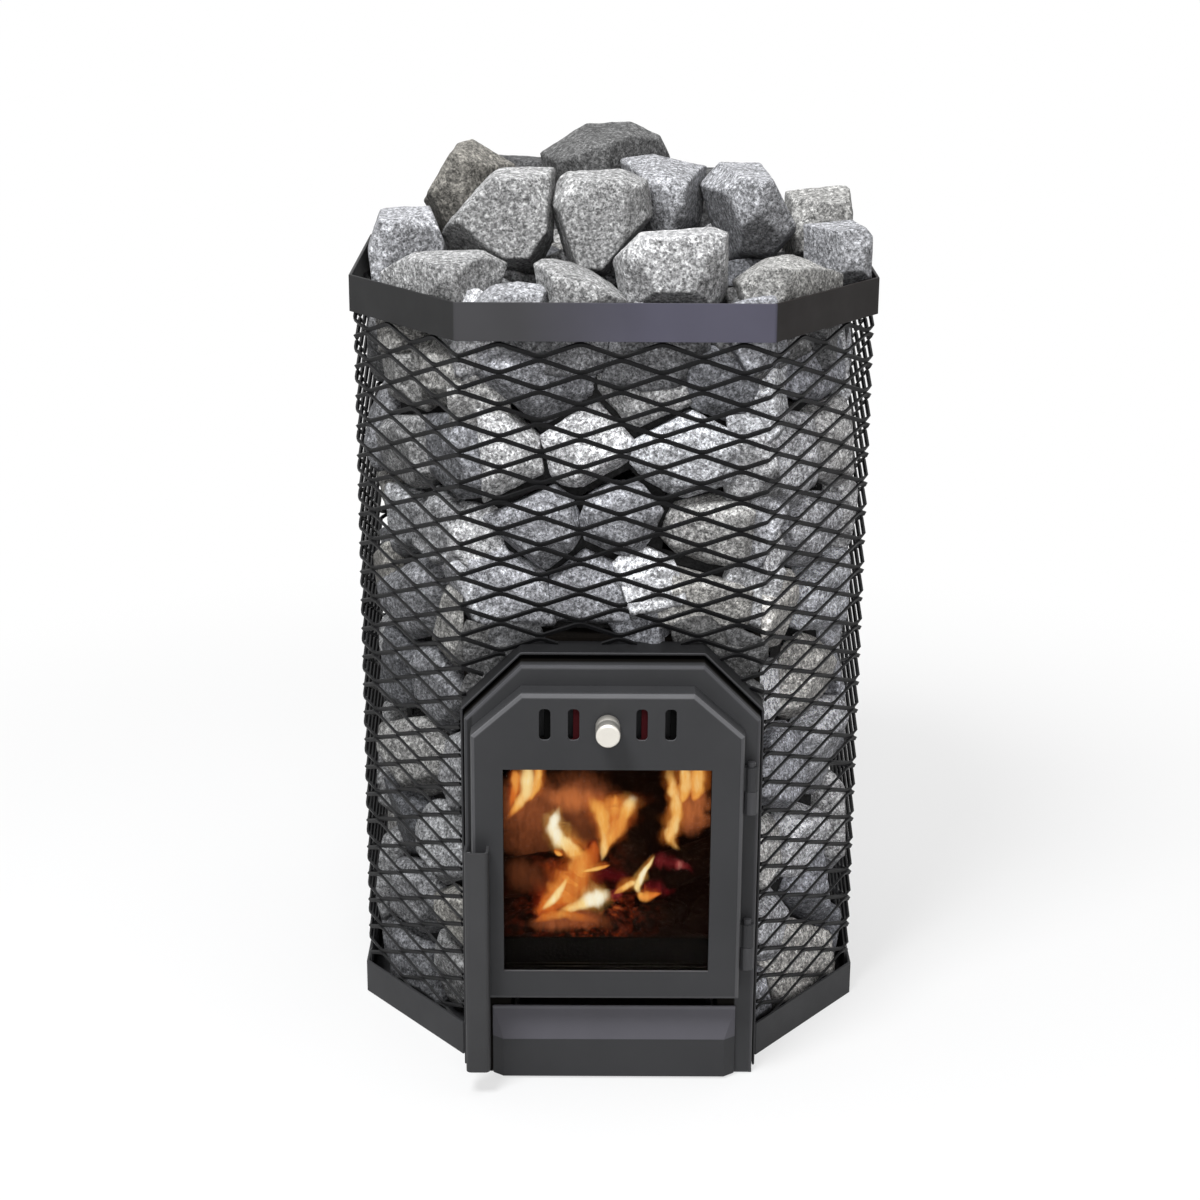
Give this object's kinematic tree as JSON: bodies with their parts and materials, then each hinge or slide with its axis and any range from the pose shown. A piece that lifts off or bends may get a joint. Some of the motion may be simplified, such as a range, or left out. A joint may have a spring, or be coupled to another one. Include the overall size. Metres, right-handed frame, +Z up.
{
  "type": "wood-burning sauna heater stove",
  "caption": "Octagonal expanded-metal cage filled with stones round a firebox, with a glazed door, sliding air control, turning handle, ash drawer and rear flue collar.",
  "frame": {"origin": "on the floor under the middle of the octagonal cage", "axes": "+Z up, +Y towards the rear flue, -Y towards the door, +X to the right as seen from the front"},
  "size_m": [0.52, 0.6525, 0.9049],
  "materials": {
    "heat_paint": "matt heat-resistant paint",
    "mesh_paint": "matt heat-resistant paint, near black",
    "bare_steel": "dull bare steel",
    "cast_iron": "sooty, rough",
    "polished": "polished",
    "glass": "clear ceramic glass",
    "rope": "braided glass-fibre rope",
    "granite": "rough broken stone"
  },
  "bodies": {
    "stove": {"base_plate": "heat_paint", "bottom_ring": "heat_paint", "top_rim": "heat_paint", "mesh_front": "mesh_paint", "mesh_front_right": "mesh_paint", "mesh_right": "mesh_paint", "mesh_rear_right": "mesh_paint", "mesh_rear_lower": "mesh_paint", "mesh_rear_upper": "mesh_paint", "mesh_rear_left": "mesh_paint", "mesh_left": "mesh_paint", "mesh_front_left": "mesh_paint", "portal_hood": "heat_paint", "door_frame": "heat_paint", "firebox_shell": "cast_iron", "firebox_front": "cast_iron", "firebox_back": "cast_iron", "fire_grate": "cast_iron", "smoke_baffle": "cast_iron", "flue_collar": "heat_paint", "flue_plate": "heat_paint", "latch_keeper": "bare_steel", "hinge_pintle_upper": "bare_steel", "hinge_pintle_lower": "bare_steel", "tray_runners": "bare_steel", "stone_far_left": "granite", "stone_right_back": "granite", "stone_far_right": "granite", "stone_front_left": "granite", "stone_front_small": "granite", "stone_front_wedge": "granite", "stone_front_slab": "granite", "stone_front_right": "granite", "stone_left_rear": "granite", "stone_rear_left": "granite", "stone_rear_right": "granite", "stone_dome": "granite", "stone_left_back": "granite", "stone_left_middle": "granite", "stone_centre": "granite", "stone_centre_right": "granite", "stone_right_slab": "granite", "stones_left": "granite", "stones_right": "granite", "stones_rear": "granite", "stones_above_firebox": "granite"},
    "door": {"door_panel": "heat_paint", "glass_gasket": "rope", "door_glass": "glass", "glass_retainer": "bare_steel", "door_seal": "rope", "slider_guide": "bare_steel", "hinge_lug_upper": "heat_paint", "hinge_lug_lower": "heat_paint"},
    "handle": {"door_handle": "heat_paint", "latch_spindle": "bare_steel"},
    "air_control": {"air_slider": "bare_steel", "air_knob": "polished"},
    "drawer": {"drawer_front": "heat_paint", "ash_tray": "bare_steel"}
  },
  "joints": [
    {"name": "door_hinge", "type": "hinge", "parent": "stove", "child": "door", "pos_m": [0.13405, -0.305, 0.23], "axis": [0, 0, 1], "range_deg": [0, 110]},
    {"name": "handle_turn", "type": "hinge", "parent": "door", "child": "handle", "pos_m": [-0.12795, -0.326, 0.232], "axis": [0, 1, 0], "range_deg": [0, 35]},
    {"name": "air_slide", "type": "slide", "parent": "door", "child": "air_control", "axis": [1, 0, 0], "range_m": [-0.007, 0.007]},
    {"name": "drawer_slide", "type": "slide", "parent": "stove", "child": "drawer", "axis": [0, -1, 0], "range_m": [0, 0.25]}
  ]
}
